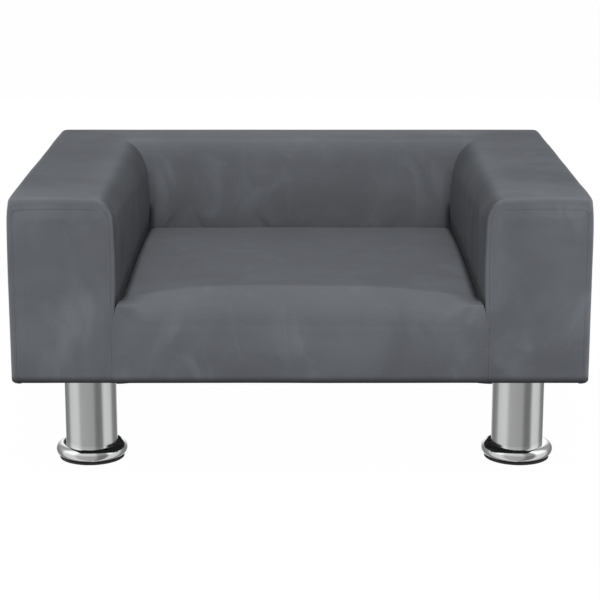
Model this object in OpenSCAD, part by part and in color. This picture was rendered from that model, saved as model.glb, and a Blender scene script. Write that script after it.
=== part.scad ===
// Small upholstered sofa bed for a dog. Millimetres, Z up, the origin on the floor under the middle.
// The front faces -Y. Left and right are as seen from the front.

/* [Body] */
// Width over the arms
body_w = 500; // [470:5:560]
// Depth from the front panel to the outside back
body_d = 400; // [380:5:460]
// Height from the underside to the top edges
body_h = 161; // [150:1:180]
// Height of the underside above the floor
leg_h = 94; // [80:1:120]
// Width of an arm at its front
arm_w = 92.6; // [86:0.1:98]
// Depth of the back rest, and width of an arm where it meets the back rest
back_t = 100; // [99:1:112]

/* [Seat] */
// Height of the seat above the underside where it meets the back rest
seat_h = 77; // [72:1:88]
// Depth of the rounded front edge of the seat
seat_round = 42; // [30:1:48]
// Height of the rounded front edge of the seat
seat_drop = 23; // [18:1:28]
// How far the middle of the seat swells above its back edge
seat_rise = 3; // [0:0.5:6]
// How far the sides of the seat sink from the back to the front
seat_sink = 15; // [6:1:18]
// Radius to which the sides of the seat are drawn in
seat_roll = 8; // [4:1:12]
// Radius of the rear edge of the seat
seat_rear_r = 5; // [3:0.5:8]

/* [Upholstery] */
// Thickness of the velvet
cloth_t = 1.4; // [0.8:0.1:2]
// Thickness of the black underside cloth
dust_t = 0.6; // [0.4:0.1:1]
// How far the top of the arms and back is crowned
crown_h = 1.6; // [0:0.1:4]
// Radius of the outer top edges
outer_r = 5; // [3:0.5:8]
// Radius of the inner top edge at the front of an arm
inner_r_front = 20; // [14:1:24]
// Radius of the inner top edge at the back rest
inner_r_back = 35; // [24:1:40]
// Radius of the rear corners, seen from above
corner_r = 9; // [7:0.5:12]
// Depth of the rounding around the front of an arm
front_r = 9; // [6:0.5:12]
// How far the seam of an arm's front lies under its top
seam_top = 9.4; // [6:0.2:12]
// How far that seam lies in from the outer side
seam_out = 6; // [4:0.5:9]
// How far that seam lies in from the inner side
seam_in = 3.6; // [2:0.2:6]
// How deep the seams are drawn in
seam_sink = 1.2; // [0.4:0.1:2]
// Width of the cloth turned under the body
hem_w = 18; // [12:1:26]
// Inset of the underside cloth from the edges of the body
dust_inset = 9; // [6:1:14]

/* [Padding] */
// Foam over the arms and back
foam_top = 12; // [8:1:18]
// Foam on the inner side of the arms
foam_in = 12; // [9:1:18]
// Foam on the front of the back rest
foam_back = 20; // [12:1:26]
// Wadding on the outer sides
foam_out = 4; // [3:0.5:6]
// Foam on the front
foam_front = 6; // [5.5:0.5:9]
// Foam of the seat at its back edge
foam_seat = 27; // [18:1:32]

/* [Frame] */
// Thickness of the boards of the arms and back
board_t = 9; // [6:1:12]
// Thickness of the base panel
base_t = 12; // [9:1:15]
// Thickness of the seat deck
deck_t = 6; // [4:1:9]
// Thickness of the front rail and width of the seat cleats
rail_t = 12; // [9:1:18]
// Height of the seat cleats
cleat_h = 15; // [10:1:20]
// Leg of the triangular corner blocks
block_leg = 28; // [20:1:36]
// Height of the corner blocks
block_h = 60; // [40:5:90]

/* [Legs] */
// Outer diameter of a leg tube
tube_d = 47; // [40:1:52]
// Wall of a leg tube
tube_wall = 1.5; // [1:0.1:2.5]
// Outer diameter of a foot ring
ring_d = 65; // [60:1:70]
// Height of the rounded bead of a foot ring
bead_h = 12; // [10:0.5:14]
// Floor of a foot ring, on which the tube stands
ring_floor = 3; // [2:0.5:4]
// Diameter of a rubber pad
pad_d = 59; // [50:1:60]
// Thickness of a rubber pad
pad_t = 2; // [1.5:0.5:4]
// Distance of the leg centres from the inner boards of the arms
leg_in = 14.9; // [11.9:0.5:22]
// How far all legs sit towards the right
leg_shift = 4; // [0:0.5:5]
// Distance of the front legs behind the front panel
leg_front = 88; // [70:1:100]
// Distance of the rear legs in front of the outside back
leg_rear = 50; // [46:1:70]

/* [Fasteners] */
// Diameter of the leg bolts
bolt_d = 8; // [6:1:10]
// Length of the leg bolts under the head
bolt_len = 26; // [22:1:32]
// Width across the flats of a bolt head
bolt_flats = 13; // [12:1:15]
// Height of a bolt head
bolt_head = 5.3; // [4:0.1:7]
// Thickness of the plate in the top of a leg tube
plate_t = 3; // [2:0.5:5]
// Flange diameter of a tee nut
nut_flange_d = 22; // [20:1:28]
// Flange thickness of a tee nut
nut_flange_t = 1.5; // [1:0.1:2]
// Barrel diameter of a tee nut
nut_barrel_d = 11.5; // [11.5:0.5:14]

/* [Hidden] */
$fn = 64;

velvet = "#5c6065";
foam_yellow = "#e6dcb4";
timber = "#c9a56d";
black_cloth = "#1d1d1f";
steel = "#c9ccd0";
rubber_black = "#141414";

// Clearance of soft pieces, running clearance of round ones, and the overrun of cuts
fit = 0.3;
slide = 0.1;
over = 1;
// Smallest radius that an inset leaves
least_r = 1;

// Planes of the body
half_w = body_w / 2;
front_y = -body_d / 2;
back_y = body_d / 2;
under_z = leg_h;
top_z = under_z + body_h;
seat_d = body_d - back_t;
pad_inset = cloth_t + fit;

// Shape of the inner faces: a slow bow, widest at the bow height. Towards the back rest the arms
// widen to its depth, and its face falls back below and above the bow height.
bow_share = 0.65;
bow_z = under_z + bow_share * body_h;
flare = 15;
back_fall = 7.4;
back_fall_share = 7.7;
crown_mid_share = 0.5;
join_z = under_z + seat_h - seat_drop;
join_h = seat_drop / 2;
bend_r = 2.5;
hem_min = 1;
seam_corner_out = 4.5;
seam_corner_in = 7;
puff_w = 8;
corner_pull = 2.2;
pull_depth = 12;
pull_drop = 8;

// Frame planes
frame_out_x = half_w - pad_inset - foam_out;
frame_in_x = half_w - arm_w + pad_inset + foam_in;
frame_front_y = front_y + pad_inset + foam_front;
frame_rear_y = back_y - pad_inset - foam_out;
frame_back_y = back_y - back_t + pad_inset + foam_back;
frame_z = under_z + pad_inset;
frame_top_z = top_z - pad_inset - foam_top;
floor_z = frame_z + base_t;
deck_z = under_z + seat_h - pad_inset - foam_seat;
board_top_z = frame_top_z - board_t;

// Height of each leg part above the floor
tube_z = pad_t + ring_floor;
tube_top_z = under_z - dust_t;
plate_z = tube_top_z - plate_t;
tube_r = tube_d / 2;
bore_r = bolt_d / 2 + slide;
sides = [-1, 1];

// Centres of the legs
leg_x = frame_in_x + board_t + leg_in;
function leg_place(side, end) =
    [side * leg_x + leg_shift, end < 0 ? front_y + leg_front : back_y - leg_rear, 0];

function clamp(v, low, high) = max(low, min(high, v));
function mix(a, b, s) = a + (b - a) * s;
function square_of(v) = v * v;
function reversed(list) = [for (i = [len(list) - 1 : -1 : 0]) list[i]];
function unit(v) = v / max(norm(v), 1e-9);

// Distance from the outer side to the inner face, at a depth behind the front and a height
function bow(z) = square_of((z - bow_z) / body_h);
function inner_e(depth, z) =
    let (s = clamp(depth / seat_d, 0, 1))
    mix(arm_w, back_t, s) - flare * bow(z) - s * back_fall * min(1, back_fall_share * bow(z));

// Share of the front seam's inset at a height: it fades out where the seat's front begins
function join_share(z) = clamp((z - join_z) / join_h, 0, 1);

// Pull of the cloth at the outer front top corner of an arm, at a depth and a height
function pull_in(depth, z) = corner_pull * exp(-depth / pull_depth) * exp((z - top_z) / pull_drop);

side_shares = [0, 1 / 3, 2 / 3, 0.86, 0.94];
crown_shares = [0.25, 0.5, 0.75];
inner_shares = [0.2, 0.4, 0.6, 0.8, 1];

// Outline of an arm or the back rest as [distance from the outer side, height] pairs, from the
// foot of the outer side over the top to the foot of the inner side. inset shrinks it all round
// and seam, from 0 to 1, draws it in to the seam of the arm's front.
function top_height(e, wide, inset, seam) =
    top_z + crown_h * (1 - square_of((e - wide * crown_mid_share) / (wide * crown_mid_share)))
    - inset - seam * seam_top;

function outline(depth, inset, seam, foot_out, foot_in) =
    let (
        wide = inner_e(depth, top_z - inner_r_front),
        out = inset + seam * seam_out,
        r_out = max(mix(outer_r, seam_corner_out, seam) - inset, least_r),
        r_full = mix(inner_r_front, inner_r_back, clamp(depth / seat_d, 0, 1)),
        r_in = mix(r_full, seam_corner_in, seam) - inset,
        out_z = top_height(out + r_out, wide, inset, seam) - r_out,
        arc_z = top_height(wide - r_in, wide, inset, seam) - r_in,
        drawn = inset + seam * seam_in,
        arc_e = inner_e(depth, arc_z) - drawn - r_in,
        pull = (1 - seam) * pull_in(depth, out_z)
    )
    concat(
        [for (s = side_shares)
            let (z = mix(foot_out, out_z, s))
            [out + (1 - seam) * pull_in(depth, z), z]],
        [for (a = [0 : 22.5 : 90])
            [out + r_out * (1 - cos(a)) + pull * cos(a), out_z + r_out * sin(a)]],
        [for (s = crown_shares)
            let (e = mix(out + r_out, arc_e, s)) [e, top_height(e, wide, inset, seam)]],
        [for (a = [90 : -15 : 0]) [arc_e + r_in * cos(a), arc_z + r_in * sin(a)]],
        [for (s = inner_shares)
            let (z = mix(arc_z, foot_in, s))
            [inner_e(depth, z) - inset - seam * seam_in * join_share(z), z]]
    );

// A closed sheet between two grids of points, whose rows and columns match. The cross product
// of the row direction and the column direction points out of the first grid.
module sheet(outer, inner) {
    rows = len(outer);
    cols = len(outer[0]);
    n = rows * cols;
    points = concat([for (r = outer) for (p = r) p], [for (r = inner) for (p = r) p]);
    function at(i, j) = i * cols + j;
    faces = concat(
        [for (i = [0 : rows - 2], j = [0 : cols - 2])
            each [[at(i, j), at(i, j + 1), at(i + 1, j + 1)], [at(i, j), at(i + 1, j + 1), at(i + 1, j)]]],
        [for (i = [0 : rows - 2], j = [0 : cols - 2])
            each [[n + at(i, j), n + at(i + 1, j + 1), n + at(i, j + 1)],
                  [n + at(i, j), n + at(i + 1, j), n + at(i + 1, j + 1)]]],
        [for (i = [0 : rows - 2])
            each [[at(i, 0), at(i + 1, 0), n + at(i + 1, 0)], [at(i, 0), n + at(i + 1, 0), n + at(i, 0)]]],
        [for (i = [0 : rows - 2]) let (c = cols - 1)
            each [[at(i + 1, c), at(i, c), n + at(i, c)], [at(i + 1, c), n + at(i, c), n + at(i + 1, c)]]],
        [for (j = [0 : cols - 2])
            each [[at(0, j + 1), at(0, j), n + at(0, j)], [at(0, j + 1), n + at(0, j), n + at(0, j + 1)]]],
        [for (j = [0 : cols - 2]) let (r = rows - 1)
            each [[at(r, j), at(r, j + 1), n + at(r, j + 1)], [at(r, j), n + at(r, j + 1), n + at(r, j)]]]
    );
    polyhedron(points = points, faces = faces);
}

// A grid moved inwards by the thickness of the velvet
function backed(grid) =
    let (rows = len(grid), cols = len(grid[0]))
    [for (i = [0 : rows - 1]) [for (j = [0 : cols - 1])
        let (
            along = grid[min(i + 1, rows - 1)][j] - grid[max(i - 1, 0)][j],
            across = grid[i][min(j + 1, cols - 1)] - grid[i][max(j - 1, 0)]
        )
        grid[i][j] - cloth_t * unit(cross(along, across))]];

module cloth(grid) {
    color(velvet) sheet(grid, backed(grid));
}

// A closed solid through rings of points. hub is the ring point from which both ends are fanned.
module loft(rings, hub) {
    n = len(rings);
    m = len(rings[0]);
    function at(i, j) = i * m + (j % m);
    faces = concat(
        [for (i = [0 : n - 2], j = [0 : m - 1])
            each [[at(i, j), at(i, j + 1), at(i + 1, j + 1)], [at(i, j), at(i + 1, j + 1), at(i + 1, j)]]],
        [for (j = [1 : m - 2]) [at(0, hub), at(0, hub + j + 1), at(0, hub + j)]],
        [for (j = [1 : m - 2]) [at(n - 1, hub), at(n - 1, hub + j), at(n - 1, hub + j + 1)]]
    );
    polyhedron(points = [for (r = rings) for (p = r) p], faces = faces);
}

module box(x, y, z) {
    translate([x[0], y[0], z[0]]) cube([x[1] - x[0], y[1] - y[0], z[1] - z[0]]);
}

// side is -1 for the left and 1 for the right
module sided(side) {
    if (side < 0) mirror([1, 0, 0]) children();
    else children();
}

// Frame

module leg_places() {
    for (side = sides, end = sides) translate(leg_place(side, end)) children();
}

module base_panel() {
    color(timber) difference() {
        box([-frame_out_x, frame_out_x], [frame_front_y, frame_rear_y], [frame_z, floor_z]);
        leg_places() translate([0, 0, frame_z - over])
            cylinder(r = nut_barrel_d / 2 + slide, h = base_t + 2 * over);
    }
}

module front_rail() {
    color(timber)
        box([-frame_in_x, frame_in_x], [frame_front_y, frame_front_y + rail_t], [floor_z, deck_z - deck_t]);
}

module seat_deck() {
    color(timber)
        box([-frame_in_x, frame_in_x], [frame_front_y, frame_back_y], [deck_z - deck_t, deck_z]);
}

module seat_cleat(side) {
    color(timber) sided(side)
        box([frame_in_x - rail_t, frame_in_x], [frame_front_y + rail_t, frame_back_y],
            [deck_z - deck_t - cleat_h, deck_z - deck_t]);
}

module arm_outer_board(side) {
    color(timber) sided(side)
        box([frame_out_x - board_t, frame_out_x], [frame_front_y + board_t, frame_rear_y],
            [floor_z, board_top_z]);
}

// The inner board has a relief at its foot round the tee nuts
module arm_inner_board(side) {
    color(timber) difference() {
        sided(side)
            box([frame_in_x, frame_in_x + board_t], [frame_front_y + board_t, frame_back_y],
                [floor_z, board_top_z]);
        leg_places() translate([0, 0, floor_z - over])
            cylinder(r = nut_flange_d / 2 + fit, h = nut_flange_t + fit + over);
    }
}

module arm_front_board(side) {
    color(timber) sided(side)
        box([frame_in_x, frame_out_x], [frame_front_y, frame_front_y + board_t],
            [floor_z, board_top_z]);
}

module arm_top_board(side) {
    color(timber) sided(side)
        box([frame_in_x, frame_out_x], [frame_front_y, frame_rear_y], [board_top_z, frame_top_z]);
}

module back_outer_board() {
    color(timber)
        box([board_t - frame_out_x, frame_out_x - board_t], [frame_rear_y - board_t, frame_rear_y],
            [floor_z, board_top_z]);
}

module back_inner_board() {
    reach = frame_in_x + board_t;
    color(timber)
        box([-reach, reach], [frame_back_y, frame_back_y + board_t], [floor_z, board_top_z]);
}

module back_top_board() {
    color(timber)
        box([-frame_in_x, frame_in_x], [frame_back_y, frame_rear_y], [board_top_z, frame_top_z]);
}

// Glue blocks in the outer corners of the frame, on the base panel
module corner_blocks() {
    color(timber) for (side = sides) sided(side) {
        for (end = [[frame_front_y + board_t, 1], [frame_rear_y - board_t, -1]])
            translate([0, 0, floor_z]) linear_extrude(height = block_h) polygon([
                [frame_out_x - board_t, end[0]],
                [frame_out_x - board_t - block_leg, end[0]],
                [frame_out_x - board_t, end[0] + end[1] * block_leg]
            ]);
    }
}

// Space that the frame takes out of the foam
module frame_space() {
    outer_x = frame_out_x + fit;
    for (side = sides) sided(side)
        box([frame_in_x - fit, outer_x], [frame_front_y - fit, frame_rear_y + fit],
            [under_z - over, frame_top_z + fit]);
    box([-outer_x, outer_x], [frame_back_y - fit, frame_rear_y + fit],
        [under_z - over, frame_top_z + fit]);
    box([-outer_x, outer_x], [frame_front_y - fit, frame_rear_y],
        [under_z - over, deck_z + fit]);
}

// Space outside the rounded rear corners of the foam
module rear_corners() {
    edge_z = top_height(outer_r, back_t, 0, 0) - outer_r;
    foam_r = outer_r - pad_inset;
    high = top_z + crown_h + over;
    for (side = sides) sided(side) translate([half_w - corner_r, back_y - corner_r, 0]) difference() {
        translate([0, 0, under_z]) cube([corner_r, corner_r, high - under_z]);
        rotate_extrude($fn = 32) polygon(concat(
            [[0, under_z - over], [corner_r - pad_inset, under_z - over]],
            [for (a = [0 : 30 : 90])
                [corner_r - outer_r + foam_r * cos(a), edge_z + foam_r * sin(a)]],
            [[corner_r - outer_r, high + over], [0, high + over]]
        ));
    }
}

// Padding

// Depth behind the front and pull of the seam for each ring of an arm
round_angles = [0, 30, 60, 90];
arm_depth_shares = [0.13, 0.33, 0.58, 0.83];
last_depth = arm_depth_shares[len(arm_depth_shares) - 1] * seat_d;
end_shares = [0.87, 1];

function mitre_y(e) = back_y - e - fit / 2;

function arm_foam_ring(depth, seam) =
    [for (p = outline(depth, pad_inset, seam, frame_z, frame_z))
        [half_w - p[0], front_y + depth, p[1]]];

// The foam starts behind the deepest part of the front seam
module arm_foam(side) {
    foam_start = pad_inset + seam_sink;
    rings = concat(
        [for (a = round_angles)
            arm_foam_ring(foam_start + (front_r - foam_start) * (1 - cos(a)), 1 - sin(a))],
        [for (s = arm_depth_shares) arm_foam_ring(s * seat_d, 0)],
        [[for (p = outline(seat_d, pad_inset, 0, frame_z, frame_z))
            [half_w - p[0], mitre_y(p[0]), p[1]]]]
    );
    color(foam_yellow) sided(side) difference() {
        loft(rings, len(rings[0]) - 1);
        frame_space();
        rear_corners();
    }
}

module back_foam() {
    ring = reversed(outline(seat_d, pad_inset, 0, frame_z, frame_z));
    color(foam_yellow) difference() {
        loft([for (s = sides) [for (p = ring)
            [s * (half_w - p[0] - fit / 2), back_y - p[0], p[1]]]], 0);
        frame_space();
        rear_corners();
    }
}

// Seat: rows run from the back rest over the front edge to the underside, as [depth, height
// share, angle round the front edge] and columns run across it

seat_depth_shares = [0.97, 0.84, 0.68, 0.5, 0.34, 0.22];
seat_angles = [0, 15, 30, 45, 60, 75, 90];
rear_angles = [0, 30, 60, 90];
seat_shares = [-1, -0.985, -0.955, -0.9, -0.75, -0.5, -0.25, 0, 0.25, 0.5, 0.75, 0.9, 0.955, 0.985, 1];
roll_start_share = 0.95;
dip_start_share = 0.9;
tuck_share = 0.7;
front_level_shares = [0.72, 0.45, 0.2];

function seat_edge_z(depth) = under_z + seat_h - seat_sink * pow(1 - depth / seat_d, 1.2);
function seat_mid_z(depth) = under_z + seat_h + seat_rise * sin(180 * depth / seat_d);
function seat_level(depth, u) =
    mix(seat_mid_z(depth), seat_edge_z(depth), pow(abs(u), 3));
function roll(u, depth) =
    let (s = clamp((abs(u) - roll_start_share) / (1 - roll_start_share), 0, 1))
    seat_roll * (1 - sqrt(max(0, 1 - s * s))) * clamp(depth / seat_round, 0, 1);
function seam_dip(u) =
    seam_sink * square_of(clamp((abs(u) - dip_start_share) / (1 - dip_start_share), 0, 1));

// The seat's half width, which follows the arms
function seat_half(depth, z, side_gap) = half_w - inner_e(depth, z) - side_gap;

function seat_point(u, depth, z, side_gap) =
    [u * seat_half(depth, z, side_gap), front_y + depth, z];

function seat_row_top(depth, inset, side_gap) =
    [for (u = seat_shares)
        seat_point(u, depth, seat_level(depth, u) - roll(u, depth) - inset, side_gap)];

function seat_row_round(a, inset, side_gap) =
    [for (u = seat_shares)
        let (
            depth = inset + (seat_round - inset) * (1 - sin(a)),
            high = seat_level(seat_round, u) - roll(u, seat_round) * (1 - sin(a)) - inset,
            z = join_z + (high - join_z) * cos(a)
        )
        seat_point(u, depth + seam_dip(u) * sin(a), z, side_gap)];

function seat_row_front(z, depth, side_gap) =
    [for (u = seat_shares) seat_point(u, depth + seam_dip(u), z, side_gap)];

// The rounded rear edge, from its foot up
function seat_rear_rows(inset, side_gap) =
    let (r = seat_rear_r - inset, middle = seat_d - fit - seat_rear_r)
    [for (a = rear_angles) seat_row_rear(middle + r * cos(a), r * (1 - sin(a)) + inset, side_gap)];

function seat_row_rear(depth, drop, side_gap) =
    [for (u = seat_shares)
        seat_point(u, depth, seat_level(depth, u) - roll(u, depth) - drop, side_gap)];

function seat_rows(inset, side_gap) = concat(
    [for (s = seat_depth_shares) seat_row_top(s * seat_d, inset, side_gap)],
    [for (a = seat_angles) seat_row_round(a, inset, side_gap)]
);

module seat_foam() {
    side_gap = pad_inset + fit;
    rows = concat(seat_rear_rows(pad_inset, side_gap), seat_rows(pad_inset, side_gap));
    rail = pad_inset + foam_front - fit;
    low = seat_row_front(frame_z, pad_inset, side_gap);
    rings = [for (j = [0 : len(seat_shares) - 1]) concat(
        [low[j]],
        [for (i = [len(rows) - 1 : -1 : 0]) rows[i][j]],
        [[rows[0][j][0], rows[0][j][1], deck_z + fit]],
        [[rows[len(rows) - 1][j][0], front_y + rail, deck_z + fit]],
        [[low[j][0], front_y + rail, frame_z]]
    )];
    color(foam_yellow) loft(rings, len(rings[0]) - 2);
}

// Covers

// The cloth of a cover's foot: the hem turned under the body and the bend round its edge
function hem_out(out, hem_end) = [
    [max(hem_end, out + bend_r + hem_min), under_z],
    [out + bend_r, under_z],
    [out + bend_r * (1 - cos(45)), under_z + bend_r * (1 - sin(45))]
];

function arm_cover_outline(depth, seam, hem_end) = concat(
    hem_out(seam * seam_out, hem_end),
    outline(depth, 0, seam, under_z + bend_r, deck_z + 2 * fit)
);

function arm_cover_end(share, hem_end) =
    let (limit = corner_r + fit)
    [for (p = arm_cover_outline(mix(last_depth, seat_d, share), 0, hem_end))
        [half_w - p[0], mix(front_y + last_depth, min(mitre_y(p[0]), back_y - limit), share), p[1]]];

module arm_cover(side) {
    rings = concat(
        [for (a = round_angles)
            let (depth = seam_sink * (1 - sin(a)) + front_r * (1 - cos(a)))
            [for (p = arm_cover_outline(depth, 1 - sin(a), depth))
                [half_w - p[0], front_y + depth, p[1]]]],
        [for (s = arm_depth_shares)
            [for (p = arm_cover_outline(s * seat_d, 0, hem_w))
                [half_w - p[0], front_y + s * seat_d, p[1]]]],
        [arm_cover_end(end_shares[0], hem_w), arm_cover_end(end_shares[1], corner_r)]
    );
    sided(side) cloth(rings);
}

// The flat panel on the front of an arm, inside its seam
panel_level_shares = [0.08, 0.2, 0.33, 0.45, 0.58, 0.72, 0.86];
panel_angles = [0, 30, 60, 90];
panel_shares = [0, 0.07, 0.2, 0.4, 0.6, 0.8, 0.93, 1];

module arm_front_cover(side) {
    seam_z = top_z - seam_top;
    function left_e(z) =
        let (r = seam_corner_out, h = clamp(z - (seam_z - r), 0, r))
        seam_out + fit + r - sqrt(max(0, r * r - h * h));
    function right_e(z) =
        let (r = seam_corner_in, h = clamp(z - (seam_z - r), 0, r))
        inner_e(0, z) - seam_in * join_share(z) - fit - r + sqrt(max(0, r * r - h * h));
    function dip(z, s) =
        let (side_gap = min(s, 1 - s) * arm_w, top_gap = seam_z - z)
        seam_sink * square_of(clamp(1 - min(side_gap, top_gap) / puff_w, 0, 1));
    // The panel's top follows the crown of the arm
    level_top = seam_z - fit - seam_corner_in;
    wide = inner_e(0, top_z - inner_r_front);
    function lift(e, z) =
        clamp((z - under_z - bend_r) / (level_top - under_z - bend_r), 0, 1)
        * (top_height(e, wide, 0, 0) - top_z);
    function row(z, depth, from) =
        [for (s = panel_shares)
            let (e = mix(max(left_e(z), from), right_e(z), s))
            [half_w - e, front_y + depth + dip(z, s), z + lift(e, z)]];
    rows = concat(
        [row(under_z, hem_w, hem_w + fit), row(under_z, bend_r, bend_r + fit)],
        [row(under_z + bend_r * (1 - sin(45)), bend_r * (1 - cos(45)), 0)],
        [row(under_z + bend_r, 0, 0)],
        [for (s = panel_level_shares) row(mix(under_z + bend_r, level_top, s), 0, 0)],
        [for (a = panel_angles) row(level_top + seam_corner_in * sin(a), 0, 0)]
    );
    sided(side) cloth(rows);
}

// The top and front of the back rest, between the mitres
back_shares = [-1, -0.5, 0, 0.5, 1];

// Where the outside back ends on top, drawn in from the outer faces
wrap_end = corner_r - least_r;

module back_cover() {
    section = [for (p = outline(seat_d, 0, 0, under_z, deck_z + 2 * fit)) if (p[0] > outer_r) p];
    start_e = wrap_end + fit;
    start = [start_e, top_height(start_e, back_t, 0, 0)];
    rows = [for (p = concat([start], [for (q = section) if (q[0] > start_e + fit) q]))
        [for (s = back_shares) [s * (half_w - p[0] - fit / 2), back_y - p[0], p[1]]]];
    cloth(rows);
}

// The outside back, which wraps round the rear corners and over the rear top edge
module outside_back_cover() {
    function row(drawn, z) =
        let (
            r = max(corner_r - drawn, least_r),
            side_x = half_w - drawn,
            rear_y = back_y - drawn,
            arc = [for (a = [0 : 30 : 90]) [side_x - r * (1 - cos(a)), rear_y - r + r * sin(a)]],
            reach = side_x - r
        )
        concat(
            [for (p = arc) [-p[0], p[1], z]],
            [for (s = [-0.5, 0, 0.5]) [s * reach, rear_y, z]],
            [for (p = reversed(arc)) [p[0], p[1], z]]
        );
    // The hem's edge, whose ends stop where the arms' hems end
    hem_edge = [for (p = row(0, under_z))
        let (fall = clamp((p[1] - back_y + corner_r) / corner_r, 0, 1))
        [p[0] * (half_w - hem_w) / half_w, back_y - mix(corner_r, hem_w, fall), under_z]];
    edge_z = top_height(outer_r, back_t, 0, 0) - outer_r;
    rows = concat(
        [hem_edge, row(bend_r, under_z)],
        [row(bend_r * (1 - cos(45)), under_z + bend_r * (1 - sin(45)))],
        [for (s = [0, 0.25, 0.5, 0.75]) row(0, mix(under_z + bend_r, edge_z, s))],
        [for (a = [0 : 22.5 : 90]) row(outer_r * (1 - cos(a)), edge_z + outer_r * sin(a))],
        [row(wrap_end, top_height(wrap_end, back_t, 0, 0))]
    );
    cloth(rows);
}

// The rear edge of the seat's cloth is tucked down in front of the back rest
module seat_cover() {
    side_gap = fit;
    rear_rows = seat_rear_rows(0, side_gap);
    function low_row(z, depth) = seat_row_front(z, depth, side_gap);
    rows = concat(
        [[for (p = rear_rows[0]) [p[0], p[1], mix(p[2], deck_z, tuck_share)]]],
        rear_rows,
        seat_rows(0, side_gap),
        [for (s = front_level_shares) low_row(mix(under_z + bend_r, join_z, s), 0)],
        [low_row(under_z + bend_r, 0)],
        [low_row(under_z + bend_r * (1 - sin(45)), bend_r * (1 - cos(45)))],
        [low_row(under_z, bend_r), low_row(under_z, hem_w)]
    );
    cloth(rows);
}

module dust_cover() {
    x = half_w - dust_inset;
    color(black_cloth) difference() {
        box([-x, x], [front_y + dust_inset, back_y - dust_inset], [under_z - dust_t, under_z]);
        leg_places() translate([0, 0, under_z - dust_t - over])
            cylinder(r = nut_barrel_d / 2 + slide, h = dust_t + 2 * over);
    }
}

// Legs: end is -1 for the front and 1 for the rear

module at_leg(side, end) {
    translate(leg_place(side, end)) children();
}

module leg_tube(side, end) {
    color(steel) at_leg(side, end) translate([0, 0, tube_z]) difference() {
        cylinder(r = tube_r, h = tube_top_z - tube_z);
        translate([0, 0, -over]) cylinder(r = tube_r - tube_wall, h = tube_top_z - tube_z + 2 * over);
    }
}

module leg_plate(side, end) {
    color(steel) at_leg(side, end) translate([0, 0, plate_z]) difference() {
        cylinder(r = tube_r - tube_wall - slide, h = plate_t);
        translate([0, 0, -over]) cylinder(r = bore_r, h = plate_t + 2 * over);
    }
}

// A polished bead round the tube, with a floor under it
module foot_ring(side, end) {
    bead_r = bead_h / 2;
    bead_x = ring_d / 2 - bead_r;
    bore = tube_r + slide;
    color(steel) at_leg(side, end) translate([0, 0, pad_t]) difference() {
        union() {
            rotate_extrude() translate([bead_x, bead_r]) circle(r = bead_r);
            cylinder(r = bead_x, h = bead_h);
        }
        translate([0, 0, ring_floor]) cylinder(r = bore, h = bead_h);
        translate([0, 0, -over]) cylinder(r = bolt_d / 2, h = ring_floor + 2 * over);
    }
}

// A rubber pad with a peg that grips the hole in the foot ring
module foot_pad(side, end) {
    color(rubber_black) at_leg(side, end) union() {
        cylinder(r = pad_d / 2, h = pad_t);
        cylinder(r = bolt_d / 2 - slide, h = pad_t + ring_floor);
    }
}

module leg_bolt(side, end) {
    color(steel) at_leg(side, end) translate([0, 0, plate_z]) union() {
        translate([0, 0, -bolt_head]) cylinder(r = bolt_flats / 2 / cos(30), h = bolt_head, $fn = 6);
        cylinder(r = bolt_d / 2, h = bolt_len);
    }
}

module tee_nut(side, end) {
    color(steel) at_leg(side, end) translate([0, 0, floor_z]) difference() {
        union() {
            cylinder(r = nut_flange_d / 2, h = nut_flange_t);
            translate([0, 0, fit - base_t]) cylinder(r = nut_barrel_d / 2, h = base_t);
        }
        translate([0, 0, -base_t - over]) cylinder(r = bore_r, h = base_t + nut_flange_t + 2 * over);
    }
}

base_panel();
front_rail();
seat_deck();
seat_cleat(-1);  // left_seat_cleat
seat_cleat(1);  // right_seat_cleat
arm_outer_board(-1);  // left_arm_outer_board
arm_inner_board(-1);  // left_arm_inner_board
arm_front_board(-1);  // left_arm_front_board
arm_top_board(-1);  // left_arm_top_board
arm_outer_board(1);  // right_arm_outer_board
arm_inner_board(1);  // right_arm_inner_board
arm_front_board(1);  // right_arm_front_board
arm_top_board(1);  // right_arm_top_board
back_outer_board();
back_inner_board();
back_top_board();
corner_blocks();
arm_foam(-1);  // left_arm_foam
arm_foam(1);  // right_arm_foam
back_foam();
seat_foam();
arm_cover(-1);  // left_arm_cover
arm_cover(1);  // right_arm_cover
arm_front_cover(-1);  // left_arm_front_cover
arm_front_cover(1);  // right_arm_front_cover
back_cover();
outside_back_cover();
seat_cover();
dust_cover();
leg_tube(-1, -1);  // front_left_tube
leg_plate(-1, -1);  // front_left_plate
foot_ring(-1, -1);  // front_left_foot_ring
foot_pad(-1, -1);  // front_left_foot_pad
leg_bolt(-1, -1);  // front_left_bolt
tee_nut(-1, -1);  // front_left_tee_nut
leg_tube(1, -1);  // front_right_tube
leg_plate(1, -1);  // front_right_plate
foot_ring(1, -1);  // front_right_foot_ring
foot_pad(1, -1);  // front_right_foot_pad
leg_bolt(1, -1);  // front_right_bolt
tee_nut(1, -1);  // front_right_tee_nut
leg_tube(-1, 1);  // rear_left_tube
leg_plate(-1, 1);  // rear_left_plate
foot_ring(-1, 1);  // rear_left_foot_ring
foot_pad(-1, 1);  // rear_left_foot_pad
leg_bolt(-1, 1);  // rear_left_bolt
tee_nut(-1, 1);  // rear_left_tee_nut
leg_tube(1, 1);  // rear_right_tube
leg_plate(1, 1);  // rear_right_plate
foot_ring(1, 1);  // rear_right_foot_ring
foot_pad(1, 1);  // rear_right_foot_pad
leg_bolt(1, 1);  // rear_right_bolt
tee_nut(1, 1);  // rear_right_tee_nut
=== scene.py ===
"""Looks of a small upholstered sofa bed for a dog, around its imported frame: grey velvet covers
with their seams, the underside with its staples, and satin chrome legs on polished rings."""

import math

import bpy
import numpy as np
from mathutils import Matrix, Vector, noise

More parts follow.
